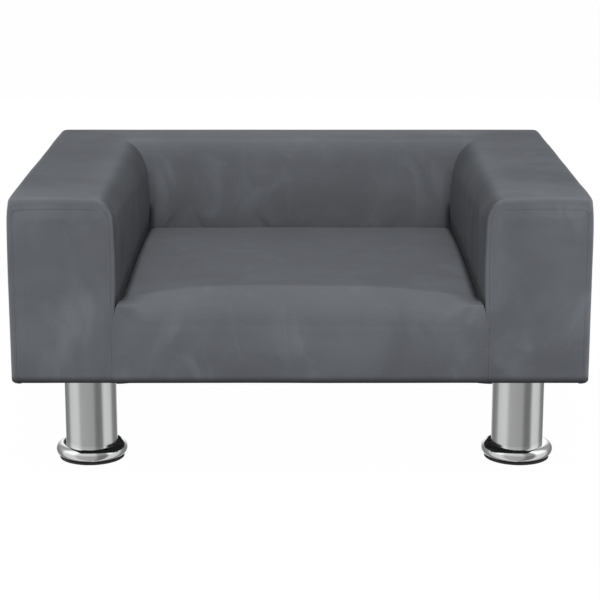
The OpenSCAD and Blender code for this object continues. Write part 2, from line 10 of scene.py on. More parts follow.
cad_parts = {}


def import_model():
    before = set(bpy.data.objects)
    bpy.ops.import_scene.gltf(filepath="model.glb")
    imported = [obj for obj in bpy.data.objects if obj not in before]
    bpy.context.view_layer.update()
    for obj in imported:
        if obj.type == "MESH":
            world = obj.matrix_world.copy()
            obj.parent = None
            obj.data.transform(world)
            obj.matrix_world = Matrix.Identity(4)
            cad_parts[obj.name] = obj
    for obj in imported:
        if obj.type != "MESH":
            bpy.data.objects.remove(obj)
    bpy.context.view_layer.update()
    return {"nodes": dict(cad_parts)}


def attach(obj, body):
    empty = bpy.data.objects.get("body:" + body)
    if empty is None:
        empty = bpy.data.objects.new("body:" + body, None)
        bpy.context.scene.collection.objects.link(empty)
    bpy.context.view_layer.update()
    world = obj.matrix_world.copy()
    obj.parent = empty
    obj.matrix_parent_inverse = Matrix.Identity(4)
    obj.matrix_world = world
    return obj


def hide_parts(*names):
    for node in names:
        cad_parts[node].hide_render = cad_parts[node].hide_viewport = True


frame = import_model()

# Sizes in millimetres. Most are those of the source. The arms' width, the seams, the pull at the
# outer front corners and the seat's sides and rear edge were fitted to the photograph afterwards.
MM = 0.001
BODY_W, BODY_D, BODY_H = 500.0, 400.0, 161.0
UNDER_Z = 94.0
TOP_Z = UNDER_Z + BODY_H
HALF_W, FRONT_Y, BACK_Y = BODY_W / 2, -BODY_D / 2, BODY_D / 2
ARM_W, BACK_T = 93.4, 100.0
SEAT_D = BODY_D - BACK_T
CLOTH_T, CROWN_H = 1.4, 1.6
OUTER_R, CORNER_R, FRONT_R = 5.0, 9.0, 9.0
INNER_R_FRONT, INNER_R_BACK = 20.0, 35.0
HEM_W, HEM_MID, HEM_MIN, BEND_R = 18.0, 10.0, 1.0, 2.5
FIT, MITRE_GAP, SEAM_GAP, PANEL_GAP = 0.3, 0.02, 0.05, 0.13
# Inner faces: where they are narrowest, and how far they hang over and fall back at the rear
BOW_Z = UNDER_Z + 0.65 * BODY_H
FLARE, BACK_FALL, BACK_FALL_SHARE = 15.0, 7.4, 7.7
# The seam of an arm's front panel: its distance from the arm's edges, its depth and its corners
SEAM_TOP, SEAM_OUT, SEAM_IN, SEAM_SINK = 9.4, 6.0, 4.6, 0.22
SEAM_TURN = 2.2
SEAM_CORNER_OUT, SEAM_CORNER_IN = 4.5, 7.0
JOIN_START, JOIN_RISE = 4, 46
# Above this height the panel meets the arm's own cover, and below it the seat's
STRIP_Z, STRIP_FADE = 159.0, 5
CORNER_PULL, PULL_DEPTH, PULL_DROP = 4.6, 17.0, 9.0
# Arms: the foot of their inner faces, the last plain section, and their hems
DECK_Z = 142.3
FOOT_IN_Z = DECK_Z + 0.6
LAST_DEPTH = 0.83 * SEAT_D
HEM_GROW, HEM_TURN, HEM_TURN_SPAN = 12, 0.9, 0.1
CREASE, CREASE_W, CREASE_TOP, CREASE_RISE = 2.4, 5.0, 5, 25
FAR = 99.0
# The outside back ends on top at this distance from the body's edge, where the back rest's cover
# begins. The next point of its section lies at least a step further in, and near the top.
WRAP_END, WRAP_LEAST_R = CORNER_R - 1.0, 1.0
MEET_STEP, NEAR_TOP = 0.5, 1
# Seat
SEAT_H, SEAT_ROUND, SEAT_RISE, SEAT_REAR_R = 77, 42, 3, 4
SEAT_SINK, SINK_DEPTH, SINK_EASE = 14.5, 0.73 * SEAT_D, 1.2
SEAT_ROLL, ROLL_START, ROLL_GROW = 3.2, 15, 60
FRONT_TOP_Z = 139.0
SEAT_GAP, REAR_GAP, REAR_GAP_START, REAR_GAP_GROW = 1.8, 1.2, 5, 60
FRONT_GAP_SHARE, FRONT_GAP_GAIN, FRONT_GAP_GROW = 0.45, 0.55, 150
EDGE_TUCK, SHORT_TUCK, REAR_TUCK, REAR_TUCK_GROW = 6.0, 0.5, 2.5, 30
TUCK_STEPS, DECK_CLEAR = (0.35, 0.7, 1.0), 1.5
UNDER_ARM_RISE, UNDER_ARM_FADE = 3.7, 3
REACH_START = 1.02 * SEAM_SINK
# How the ends of the rows fall and are tucked back on the seat's rear face and rear edge
REAR_STEPS, REAR_FALL, REAR_EDGE_FALL, REAR_EDGE_TUCK = (0.7, 0.4), 0.05, 0.3, 0.5
# Arc length down the seat's rounded front edge, and its turn from level there in degrees
LIP_RUN = [0, 6.6, 27.3, 38.0, 43.9, 49.1, 53.9, 58.0]
LIP_TURN = [2, 20, 28, 40, 52, 68, 84, 90]
LIP_LIFT, LIP_POWER, LIP_ROUND, LIP_SQUARE = 1.8, 0.67, 7, 60
LIP_LIFT_GROW, LIP_FALL_GROW = 1.6, 1.5
# Shares of half the seat's width at which its side rolls down, its cloth dips to the seam and
# its front edge grows squarer
SIDE_U, SIDE_SPAN = 0.93, 0.07
DIP_U, DIP_SPAN = 0.955, 0.045
CORNER_U, CORNER_SPAN, SQUARE_U, SQUARE_SPAN = 0.80, 0.2, 0.85, 0.15
# Underside
DUST_INSET, DUST_T, DUST_SAG, DUST_RIPPLE, RIPPLE_W = 9.0, 0.6, 0.35, 0.5, 16
DUST_EDGE, DUST_EDGE_W, DUST_SHEET_T = 0.5, 5, DUST_T * 0.8
STAPLE_INSET, STAPLE_HALF, STAPLE_BEND, STAPLE_LEG, WIRE_R = 5, 5.0, 0.5, 1.6, 0.35
STAPLE_Z = UNDER_Z - DUST_T - 0.75
# Where the rows of staples end, and how far each is turned, in degrees, and out of place
STAPLE_END_X, STAPLE_END_Y, STAPLE_TURN, STAPLE_SLIP_X, STAPLE_SLIP_Y = 12, 16, 14, 1.5, 0.8

# Points along a section: bend, outer side, outer edge, top, inner edge and inner face
BEND_PTS, SIDE_PTS, EDGE_PTS, TOP_PTS, ROUND_PTS, INNER_PTS = 5, 34, 7, 26, 14, 28
# Rows of an arm: its front edge, those beside the sewn line by their depth, the rest, the mitre
FRONT_ROWS, ARM_ROWS, MITRE_ROWS, MITRE_EASE = 10, 62, 30, 1.4
ARM_DEPTHS = [10.2, 11.4, 12.6, 13.8, 15, 16.4, 18, 20.5, 23.5, 27]
PANEL_COLS, PANEL_ROWS, PANEL_CORNER_ROWS, PANEL_EASE = 41, 46, 10, 0.75
BACK_COLS, BACK_EASE = 121, 0.7
WRAP_COLS, WRAP_ROWS, WRAP_CORNER_COLS = 93, 40, 8
SEAT_COLS, SEAT_SIDE_COLS = 50, 13
SEAT_ROWS, SEAT_REAR_ROWS, LIP_ROWS, LIP_STEPS, SEAT_FRONT_ROWS = 66, 6, 40, 600, 17
DUST_COLS, DUST_ROWS, STAPLES_WIDE, STAPLES_DEEP, WIRE_SIDES = 90, 72, 13, 10, 6

# Swells of the cloth: height, size and seed of each, and the rows and columns over which they
# fade in from a cover's edges
ARM_SWELLS, ARM_FADE = [(0.55, 95, 5), (0.22, 34, 8)], (12, 6)
PANEL_SWELLS, PANEL_FADE = [(0.5, 70, 11), (0.25, 26, 14)], (8, 7)
BACK_SWELLS, BACK_FADE = [(0.6, 90, 21), (0.3, 32, 24)], (10, 8)
WRAP_SWELLS, WRAP_FADE = [(0.5, 90, 31), (0.2, 34, 34)], (9, 9)
SEAT_SWELLS, SEAT_FADE = [(0.8, 105, 41), (0.3, 38, 44)], (9, 8, 3)
RIPPLE_SIZE, RIPPLE_SEED = 17, 51
# A seed moves the noise by this much on each axis
SEED_STEPS = (7.31, 3.17, 5.77)
# Behind an arm's front seam: a ridge, and a sewn line that wavers in depth and place
RIDGE_H, RIDGE_AT, RIDGE_W = 0.55, 5.5, 3.0
LINE_SIZE, LINE_SEED = 34, 2
LINE_H, LINE_VARY, LINE_AT, LINE_SWAY, LINE_W = 0.62, 0.25, 13.2, 1.1, 1.5
LINE_ON_SIDES, LINE_FADE = 0.35, 20
# Inside a front panel's seam: the valley's width, and the puff beside it with its rise from the hem
VALLEY_W, PUFF_H, PUFF_AT, PUFF_W, PUFF_RISE = 8.0, 0.75, 7.5, 4.5, 20
# At the foot of the back rest: place across, width, depth and slant
PUCKERS = [(-131, 4, 1.3, 0.5), (-120, 5, -0.7, 0.4), (-101, 4, 1.1, -0.4),
           (-37, 5, 1.0, -0.6), (-28, 5, -0.6, -0.5), (96, 5, 0.8, 0.6)]
PUCKER_RISE = 13
# Edges that turn by more than this, in degrees, aren't shaded smooth
RIM_ANGLE = 55.0


def mix(a, b, s):
    return a + (b - a) * s


def bell(offset, wide):
    return np.exp(-(offset / wide) ** 2)


def arc(start, stop, count):
    return np.radians(np.linspace(start, stop, count))


def bow(z):
    return ((z - BOW_Z) / BODY_H) ** 2


def inner_e(depth, z):
    """Distance from the outer side of an arm to its inner face."""
    s = np.clip(depth / SEAT_D, 0, 1)
    fall = BACK_FALL * np.minimum(1, BACK_FALL_SHARE * bow(z))
    return mix(ARM_W, BACK_T, s) - FLARE * bow(z) - s * fall


def join_share(z):
    """How far the seam of an arm's front panel lies in from the arm's inner edge."""
    return np.clip((z - UNDER_Z - JOIN_START) / JOIN_RISE, 0, 1)


def top_height(e, wide, seam):
    return TOP_Z + CROWN_H * (1 - ((e - wide / 2) / (wide / 2)) ** 2) - seam * SEAM_TOP


def pull_in(depth, z):
    """How far the cloth is pulled in at the outer front corners."""
    return CORNER_PULL * math.exp(-depth / PULL_DEPTH) * math.exp((z - TOP_Z) / PULL_DROP)


def outline(depth, seam, hem_end):
    """Section of an arm or the back rest as [distance from the outer side, height] points.

    seam is 1 at the front panel's seam and 0 from behind the rounded front edge on."""
    wide = inner_e(depth, TOP_Z - INNER_R_FRONT)
    out = seam * SEAM_OUT
    r_out = mix(OUTER_R, SEAM_CORNER_OUT, seam)
    seam_in = SEAM_IN * seam ** SEAM_TURN
    r_in = mix(mix(INNER_R_FRONT, INNER_R_BACK, min(1, depth / SEAT_D)), SEAM_CORNER_IN, seam)
    out_z = top_height(out + r_out, wide, seam) - r_out
    arc_z = top_height(wide - r_in, wide, seam) - r_in
    arc_e = inner_e(depth, arc_z) - seam_in - r_in
    hem = max(hem_end, out + BEND_R + HEM_MIN)
    points = [(mix(hem, out + BEND_R, s), UNDER_Z) for s in (0, 0.5)]
    points += [(out + BEND_R * (1 - math.sin(a)), UNDER_Z + BEND_R * (1 - math.cos(a)))
               for a in arc(0, 90, BEND_PTS)]
    for s in np.linspace(0, 1, SIDE_PTS)[1:-1]:
        z = mix(UNDER_Z + BEND_R, out_z, s)
        points.append((out + (1 - seam) * pull_in(depth, z), z))
    pull = (1 - seam) * pull_in(depth, out_z)
    points += [(out + r_out * (1 - math.cos(a)) + pull * math.cos(a), out_z + r_out * math.sin(a))
               for a in arc(0, 90, EDGE_PTS)]
    for s in np.linspace(0, 1, TOP_PTS)[1:-1]:
        e = mix(out + r_out, arc_e, s)
        points.append((e, top_height(e, wide, seam)))
    points += [(arc_e + r_in * math.cos(a), arc_z + r_in * math.sin(a))
               for a in arc(90, 0, ROUND_PTS)]
    for s in np.linspace(0, 1, INNER_PTS)[1:]:
        z = mix(arc_z, FOOT_IN_Z, s)
        points.append((inner_e(depth, z) - seam_in * join_share(z), z))
    return np.array(points)


# Meshes

def unit(vectors):
    return vectors / np.maximum(np.linalg.norm(vectors, axis=-1, keepdims=True), 1e-9)


def tangents(grid, axis):
    """The mean direction of the steps before and after each point."""
    steps = unit(np.diff(grid, axis=axis))
    first, last = np.take(steps, [0], axis=axis), np.take(steps, [-1], axis=axis)
    return np.concatenate([first, steps], axis=axis) + np.concatenate([steps, last], axis=axis)


def normals(grid):
    return unit(np.cross(tangents(grid, 0), tangents(grid, 1)))


def clouds(points, size, seed):
    """Smooth seeded noise from -1 to 1 over points in millimetres, with swells of that size."""
    shift = Vector([seed * step for step in SEED_STEPS])
    flat = points.reshape(-1, 3) / size
    return np.array([noise.noise(Vector(p) + shift) for p in flat]).reshape(points.shape[:-1])


def linked(name, data):
    obj = bpy.data.objects.new(name, data)
    bpy.context.scene.collection.objects.link(obj)
    return obj


def mesh_object(name, verts, faces, material):
    mesh = bpy.data.meshes.new(name)
    mesh.from_pydata([tuple(v) for v in np.asarray(verts) * MM], [], faces)
    mesh.validate()
    mesh.polygons.foreach_set("use_smooth", [True] * len(mesh.polygons))
    mesh.materials.append(material)
    return linked(name, mesh)


def sheet_object(name, grid, material, thick=CLOTH_T):
    """A closed sheet of cloth. (row direction) x (column direction) points out of it."""
    rows, cols = grid.shape[:2]
    inner = grid - thick * normals(grid)
    verts = np.concatenate([grid.reshape(-1, 3), inner.reshape(-1, 3)])
    count = rows * cols
    at = np.arange(count).reshape(rows, cols)
    corners = [at[:-1, :-1], at[1:, :-1], at[1:, 1:], at[:-1, 1:]]
    outer = np.stack(corners, axis=-1).reshape(-1, 4)
    # The rim's edges run so that its faces point out too
    first = np.concatenate([at[1:, 0], at[:-1, -1], at[0, :-1], at[-1, 1:]])
    second = np.concatenate([at[:-1, 0], at[1:, -1], at[0, 1:], at[-1, :-1]])
    rim = np.column_stack([first, second, count + second, count + first])
    faces = np.concatenate([outer, count + outer[:, ::-1], rim]).tolist()
    obj = mesh_object(name, verts, faces, material)
    # The cut edges don't round the shading of the cloth beside the seams
    obj.data.set_sharp_from_angle(angle=math.radians(RIM_ANGLE))
    return obj


# Nodes

class Graph:
    """The nodes of a material or the world. What goes into a socket is a value or an output."""

    def __init__(self, tree):
        self.tree = tree

    def put(self, socket, value):
        if isinstance(value, bpy.types.NodeSocket):
            self.tree.links.new(value, socket)
        elif socket.type == "RGBA":
            socket.default_value = (*value, 1)
        else:
            socket.default_value = value

    def node(self, kind, inputs=(), **settings):
        node = self.tree.nodes.new("ShaderNode" + kind)
        for key, value in settings.items():
            setattr(node, key, value)
        for key, value in dict(inputs).items():
            self.put(node.inputs[key], value)
        return node

    def maths(self, kind, first, *rest):
        """One operation over all the values, from left to right."""
        for value in rest:
            first = self.node("Math", {0: first, 1: value}, operation=kind).outputs[0]
        return first

    def ranged(self, value, low, high, to_low=0.0, to_high=1.0, kind="SMOOTHSTEP"):
        inputs = {"Value": value, "From Min": low, "From Max": high,
                  "To Min": to_low, "To Max": to_high}
        return self.node("MapRange", inputs, interpolation_type=kind).outputs["Result"]

    def noise(self, coords, scale, detail=2.0, rough=0.5, warp=0.0):
        inputs = {"Vector": coords, "Scale": scale, "Detail": detail,
                  "Roughness": rough, "Distortion": warp}
        return self.node("TexNoise", inputs).outputs["Fac"]

    def coords(self, kind="Object", **mapping):
        """Coordinates, through a Mapping node where values for one are given."""
        coords = self.node("TexCoord").outputs[kind]
        if mapping:
            return self.node("Mapping", {"Vector": coords, **mapping}).outputs["Vector"]
        return coords

    def split(self, vector):
        return tuple(self.node("SeparateXYZ", {0: vector}).outputs)

    def ramp(self, value, stops):
        """Greys between stops, of which the first is at 0 and the last at 1."""
        node = self.node("ValToRGB", {"Fac": value})
        node.color_ramp.interpolation = "EASE"
        elements = node.color_ramp.elements
        ends = {0: 0, 1: -1}
        for position, grey in stops:
            at_end = position in ends
            element = elements[ends[position]] if at_end else elements.new(position)
            element.color = (grey, grey, grey, 1)
        return node.outputs["Color"]

    def colour(self, factor, low, high):
        inputs = {"Factor": factor, "A": low, "B": high}
        return self.node("Mix", inputs, data_type="RGBA").outputs["Result"]

    def bump(self, shader, height, distance, strength):
        inputs = {"Height": height, "Distance": distance, "Strength": strength}
        self.put(shader["Normal"], self.node("Bump", inputs).outputs["Normal"])

    def rays(self):
        """1 for rays from the camera, also through clear things, and 1 for mirrored rays."""
        path = self.node("LightPath").outputs
        seen = self.maths("MAXIMUM", path["Is Camera Ray"], path["Is Transmission Ray"])
        return seen, path["Is Glossy Ray"]

    def blend(self, factor, first, second):
        return self.node("MixShader", {0: factor, 1: first, 2: second}).outputs[0]


def new_material(name):
    material = bpy.data.materials.new(name)
    material.use_nodes = True
    nodes = material.node_tree.nodes
    shader = next(node for node in nodes if node.type == "BSDF_PRINCIPLED")
    return material, Graph(material.node_tree), shader.inputs


# Materials. A noise is its scale per metre, detail, roughness and distortion. A bump is its depth
# in metres and its strength. A band is where a value begins and ends to change, and what it is
# there if that isn't 0 and 1.
CLOUD_NOISE, WISP_NOISE = (11.0, 3.0, 0.55, 0.6), (24.0, 3.5, 0.55, 0.8)
WISP_STRETCH, WISP_TILT = (1.0, 1.0, 0.45), (0.3, 0.5, 0.2)
PILE_NOISE, TUFT_NOISE = (1500.0, 2.0, 0.6), (420.0, 2.0, 0.55)
CLOUD_BAND, WISP_BAND = (0.34, 0.66, -0.31, 0.31), (0.5, 0.72, -0.14, 0.5)
TUFT_BAND = (0.3, 0.7, -0.07, 0.07)
UPRIGHT_BAND, NAP_MEAN = (0.2, 0.95, 1.0, 0.4), 0.42
VELVET_DARK, VELVET_LIGHT = (0.104, 0.109, 0.120), (0.140, 0.148, 0.162)
VELVET_BOTTOM_SHADE = (0.030, 0.032, 0.036)
BOTTOM_SHADE_BAND = ((UNDER_Z + 0.8) * MM, (UNDER_Z + 8.0) * MM, 1.0, 0.0)
VELVET_ROUGH = (0.0, 1.0, 0.95, 0.82)
VELVET_GLOSS, SHEEN, SHEEN_ROUGH, SHEEN_TINT = 0.18, 0.06, 0.45, (0.75, 0.8, 0.86)
PILE_SHARE, TUFT_SHARE, WISP_SHARE = 0.35, 0.5, 1.6
VELVET_BUMP = (0.0005, 0.5)
# Painted light and shade by how far a face turns to the front
PAINTED_LIGHT_MOST = 1.2
PAINTED_LIGHT_BY_SLOPE = [(0.0, 0.96), (0.03, 0.97), (0.12, 1.09), (0.25, 1.19), (0.36, 1.14), (0.47, 1.06),
                (0.64, 0.95), (0.76, 0.88), (0.87, 0.84), (0.95, 0.86), (1.0, 0.96)]
# Bands of painted light and shade by place in metres, by slope, and, for inward faces, by both
# multiplied
INNER_FACE_SHADE_BAND = (-0.118, -0.05, 0.5, 1.0)
LEVEL_BAND, TOP_LIGHT_BAND = (0.88, 0.98), (0.2, 0.25, 0.0, -0.1)
ARM_TOP_SHADE_BAND, ARM_TOP_SHADE_REAR_BAND = (0.165, 0.2, 0.0, 0.21), (-0.17, -0.1, -0.25, 1.0)
LOW_SHADE_BAND, LOW_SHADE_FRONT_BAND = (0.1, 0.137, 0.12, 0.0), (0.8, 1.0)
BACK_FOOT_SHADE_BAND, BACK_FOOT_SHADE_LOW_BAND = (0.04, 0.085, 0, 0.19), (0.165, 0.24, 1.0, 0.0)
BACK_FOOT_SHADE_FRONT_BAND = (0.3, 0.8, 0, 1)
# The line where the seat meets the arms' inner faces: its height, and its place from the middle
SEAT_LINE_RISE, SEAT_LINE_Z = 0.071, 0.171
ARM_LINE_FALL, ARM_LINE_X = 0.0138, 0.1545
# Painted shade in the crevices, on the arms' inner faces above the seat and on the seat beside them
CREVICE_SHADE_BAND, CREVICE_SHADE_ARM_BAND = (0.005, 0.018, 0.98, 0.0), (-0.13, -0.09, 1.0, 0.0)
BESIDE_BAND, BESIDE_OUT_BAND = (-0.009, -0.001, 0.0, 0.92), (0.165, 0.175, 1.0, 0.0)
BESIDE_UP_BAND, BESIDE_SEAT_BAND = (0.185, 0.2, 1.0, 0.0), (-0.09, -0.05)
BESIDE_FRONT_BAND, BESIDE_REAR_BAND = (-0.19, -0.172), (0.1, 0.11, 1.0, 0.0)

DIMPLE_SCALE, DIMPLE_CHANCE, FIBRE_NOISE = 620.0, 0.25, (240.0, 6.0, 0.7, 2.0)
UNDERSIDE_DARK, UNDERSIDE_LIGHT = (0.012, 0.012, 0.013), (0.034, 0.034, 0.037)
UNDERSIDE_ROUGH, UNDERSIDE_BUMP = (0.3, 0.7, 0.95, 0.75), (0.0003, 0.6)
GRAIN_BAND = (0.3, 0.7)
METAL_WEAR, METAL_DARK, METAL_BUMP = (4.0, 0.6), 0.94, 0.3


def paint_light_and_shade(graph, place, slope):
    """Painted light and shade on the velvet, by slope and place."""
    maths, ranged = graph.maths, graph.ranged
    x, y, z = place
    slope_x, slope_y, slope_z = slope
    aside = maths("ABSOLUTE", x, 0.0)
    inward = maths("MULTIPLY", slope_x, x)
    frontal = maths("MULTIPLY", slope_y, -1.0)
    # Painted shade on the arms' inner faces, at the rear of their tops, low on the front and at the
    # foot of the back rest, and painted light on level faces up high and where a face begins to
    # turn down towards the front
    painted_light_by_slope = graph.ramp(frontal, [(at, value / PAINTED_LIGHT_MOST) for at, value in PAINTED_LIGHT_BY_SLOPE])
    painted_light = maths("MULTIPLY", painted_light_by_slope, PAINTED_LIGHT_MOST, ranged(inward, *INNER_FACE_SHADE_BAND))
    level = ranged(slope_z, *LEVEL_BAND)
    painted_light = maths("SUBTRACT", painted_light,
                maths("MULTIPLY", ranged(z, *TOP_LIGHT_BAND), level),
                maths("MULTIPLY", ranged(aside, *ARM_TOP_SHADE_BAND), level,
                      ranged(y, *ARM_TOP_SHADE_REAR_BAND)),
                maths("MULTIPLY", ranged(z, *LOW_SHADE_BAND), ranged(frontal, *LOW_SHADE_FRONT_BAND)),
                maths("MULTIPLY", ranged(y, *BACK_FOOT_SHADE_BAND), ranged(z, *BACK_FOOT_SHADE_LOW_BAND),
                      ranged(frontal, *BACK_FOOT_SHADE_FRONT_BAND)))
    # Painted shade in the crevices between the arms and the seat, on the arms' inner faces above
    # the seat and on the seat beside the arms
    seat_line = maths("ADD", maths("MULTIPLY", y, SEAT_LINE_RISE), SEAT_LINE_Z)
    above = maths("SUBTRACT", z, maths("MINIMUM", seat_line, SEAT_LINE_Z))
    crevice_shade_on_arms = maths("MULTIPLY", ranged(above, *CREVICE_SHADE_BAND), ranged(inward, *CREVICE_SHADE_ARM_BAND))
    arm_line = maths("SUBTRACT", ARM_LINE_X, maths("MULTIPLY", y, ARM_LINE_FALL))
    beside = maths("MULTIPLY", ranged(maths("SUBTRACT", aside, arm_line), *BESIDE_BAND),
                   ranged(aside, *BESIDE_OUT_BAND), ranged(z, *BESIDE_UP_BAND),
                   ranged(y, *BESIDE_FRONT_BAND), ranged(y, *BESIDE_REAR_BAND),
                   ranged(inward, *BESIDE_SEAT_BAND))
    for dark in (crevice_shade_on_arms, beside):
        painted_light = maths("MULTIPLY", painted_light, maths("SUBTRACT", 1.0, dark))
    return painted_light


def velvet_material():
    """Short pile whose nap lies in soft clouds and wisps, over a fine knitted ground."""
    material, graph, shader = new_material("velvet")
    maths, ranged = graph.maths, graph.ranged
    coords = graph.coords()
    clouded = graph.noise(coords, *CLOUD_NOISE)
    stretched = graph.coords(Scale=WISP_STRETCH, Rotation=WISP_TILT)
    wisps = graph.noise(stretched, *WISP_NOISE)
    pile = graph.noise(coords, *PILE_NOISE)
    tufts = graph.noise(coords, *TUFT_NOISE)
    place = graph.split(coords)
    slope = graph.split(graph.node("NewGeometry").outputs["Normal"])
    # The nap is stroked flat on top and stands more freely on the upright faces
    drift = maths("ADD", ranged(clouded, *CLOUD_BAND), ranged(wisps, *WISP_BAND))
    nap = maths("ADD", maths("MULTIPLY", drift, ranged(slope[2], *UPRIGHT_BAND)), NAP_MEAN)
    shade = maths("ADD", nap, ranged(tufts, *TUFT_BAND))
    base = graph.colour(shade, VELVET_DARK, VELVET_LIGHT)
    # Painted light and shade scale the colour
    painted_light = paint_light_and_shade(graph, place, slope)
    painted_base = graph.node("VectorMath", {0: base, "Scale": painted_light}, operation="SCALE").outputs[0]
    # Painted shade along the turned bottom edge
    edge = ranged(place[2], *BOTTOM_SHADE_BAND)
    graph.put(shader["Base Color"], graph.colour(edge, painted_base, VELVET_BOTTOM_SHADE))
    graph.put(shader["Roughness"], ranged(nap, *VELVET_ROUGH))
    graph.put(shader["Specular IOR Level"], VELVET_GLOSS)
    graph.put(shader["Sheen Weight"], SHEEN)
    graph.put(shader["Sheen Roughness"], SHEEN_ROUGH)
    graph.put(shader["Sheen Tint"], SHEEN_TINT)
    coarse = maths("ADD", maths("MULTIPLY", tufts, TUFT_SHARE),
                   maths("MULTIPLY", wisps, WISP_SHARE))
    height = maths("ADD", maths("MULTIPLY", pile, PILE_SHARE), coarse)
    graph.bump(shader, height, *VELVET_BUMP)
    return material


def underside_material():
    """Thin black bonded cloth with a faint dimple pattern and stray fibres."""
    material, graph, shader = new_material("underside_cloth")
    coords = graph.coords()
    dimples = graph.node("TexVoronoi", {"Vector": coords, "Scale": DIMPLE_SCALE,
                                        "Randomness": DIMPLE_CHANCE}).outputs["Distance"]
    fibres = graph.noise(coords, *FIBRE_NOISE)
    graph.put(shader["Base Color"], graph.colour(fibres, UNDERSIDE_DARK, UNDERSIDE_LIGHT))
    graph.put(shader["Roughness"], graph.ranged(fibres, *UNDERSIDE_ROUGH))
    graph.bump(shader, graph.maths("ADD", dimples, fibres), *UNDERSIDE_BUMP)
    return material


def metal_material(name, colour, rough, scale, stretch=(1, 1, 1), depth=0.0):
    material, graph, shader = new_material(name)
    wear = graph.noise(graph.coords(Scale=stretch), scale, *METAL_WEAR)
    dark = tuple(c * METAL_DARK for c in colour)
    graph.put(shader["Base Color"], graph.colour(wear, dark, colour))
    graph.put(shader["Metallic"], 1.0)
    graph.put(shader["Roughness"], graph.ranged(wear, *GRAIN_BAND, *rough))
    if depth:
        graph.bump(shader, wear, depth, METAL_BUMP)
    return material


def grained_material(name, stretch, grain, dark, light, rough, bump):
    """A plain material with one grain in its colour, gloss and relief."""
    material, graph, shader = new_material(name)
    pattern = graph.noise(graph.coords(Scale=stretch), *grain)
    graph.put(shader["Base Color"], graph.colour(pattern, dark, light))
    graph.put(shader["Roughness"], graph.ranged(pattern, *GRAIN_BAND, *rough))
    graph.bump(shader, pattern, *bump)
    return material


VELVET = velvet_material()
UNDERSIDE = underside_material()
# Poplar plywood with soft long grain
TIMBER = grained_material("timber", stretch=(1.0, 12.0, 12.0), grain=(14.0, 5.0, 0.6, 0.8),
                          dark=(0.36, 0.23, 0.115), light=(0.56, 0.40, 0.22),
                          rough=(0.55, 0.75), bump=(0.0004, 0.3))
TUBE_STEEL = metal_material("satin_chrome", (0.74, 0.745, 0.75), rough=(0.16, 0.24), scale=55.0,
                            stretch=(12, 12, 0.6), depth=0.00005)
CHROME = metal_material("polished_chrome", (0.80, 0.805, 0.81), rough=(0.03, 0.07), scale=90.0)
ZINC = metal_material("zinc", (0.60, 0.60, 0.57), rough=(0.32, 0.5), scale=160.0, depth=0.0001)
RUBBER = grained_material("rubber", stretch=(1, 1, 1), grain=(700.0, 3.0, 0.6),
                          dark=(0.012, 0.012, 0.012), light=(0.026, 0.026, 0.027),
                          rough=(0.62, 0.82), bump=(0.0002, 0.4))


# Upholstery

def swells(points, parts):
    return sum(height * clouds(points, size, seed) for height, size, seed in parts)


def edge_fade(shape, rows_in, cols_in, tucked=0):
    """1 in the middle of a grid and 0 at its edges, and in the tucked columns at its sides."""
    i, j = (np.minimum(np.arange(n), np.arange(n)[::-1]) for n in shape[:2])
    by_row, by_col = np.clip(i / rows_in, 0, 1), np.clip((j - tucked) / cols_in, 0, 1)
    return by_row[:, None] * by_col[None, :]


def raised(grid, along, height):
    return grid + along * height[..., None]


def mirrored(grid, side):
    return grid if side > 0 else grid[:, ::-1] * (-1, 1, 1)


def crease(to_mitre, z):
    """How far the covers are drawn in beside the mitre, from their inner top edges down."""
    down = np.clip((TOP_Z - CREASE_TOP - z) / CREASE_RISE, 0, 1)
    return CREASE * bell(to_mitre, CREASE_W) * down


def arm_row(y, section):
    return np.column_stack([HALF_W - section[:, 0], np.full(len(section), y), section[:, 1]])


def arm_grid(side):
    """The right arm's cover from its front seam to the mitre, mirrored for the left arm."""
    rows = []
    for a in arc(0, 90, FRONT_ROWS):
        seam = 1 - math.sin(a)
        depth = SEAM_SINK * seam + FRONT_R * (1 - math.cos(a))
        rows.append(arm_row(FRONT_Y + depth, outline(depth, seam, depth)))
    for depth in ARM_DEPTHS + list(np.linspace(ARM_DEPTHS[-1], LAST_DEPTH, ARM_ROWS)[1:]):
        hem = mix(FRONT_R, HEM_W, min(1, (depth - FRONT_R) / HEM_GROW))
        rows.append(arm_row(FRONT_Y + depth, outline(depth, 0, hem)))
    to_mitre = [np.full(len(rows[0]), FAR)] * len(rows)
    for s in 1 - np.linspace(1, 0, MITRE_ROWS)[1:] ** MITRE_EASE:
        hem = mix(HEM_W, CORNER_R, max(0, s - HEM_TURN) / HEM_TURN_SPAN)
        section = outline(mix(LAST_DEPTH, SEAT_D, s), 0, hem)
        out = section[:, 0]
        end = np.minimum(BACK_Y - out - MITRE_GAP / 2, BACK_Y - CORNER_R - FIT)
        rows.append(arm_row(mix(FRONT_Y + LAST_DEPTH, end, s), section))
        left = (1 - s) * (end - FRONT_Y - LAST_DEPTH)
        to_mitre.append(np.where(out > ARM_W / 2, left, FAR))
    grid = np.array(rows)
    drawn = crease(np.array(to_mitre), grid[..., 2])
    grid = grid + drawn[..., None] * np.array([1, 1, 0])
    along = normals(grid)
    # The ridge and the sewn line behind the front seam are strongest on top
    step = np.linalg.norm(np.diff(grid, axis=0), axis=2)
    run = np.concatenate([np.zeros((1, grid.shape[1])), np.cumsum(step, axis=0)])
    wave = clouds(grid * (side, 1, 1), LINE_SIZE, LINE_SEED)
    lift = RIDGE_H * bell(run - RIDGE_AT, RIDGE_W)
    lift -= (LINE_H + LINE_VARY * wave) * bell(run - LINE_AT - LINE_SWAY * wave, LINE_W)
    on_top = np.clip((grid[..., 2] - STRIP_Z) / LINE_FADE, 0, 1)
    grid = raised(grid, along, lift * mix(LINE_ON_SIDES, 1.0, on_top))
    swell = swells(grid * (side, 1, 1), ARM_SWELLS) * edge_fade(grid.shape, *ARM_FADE)
    return mirrored(raised(grid, along, swell), side)


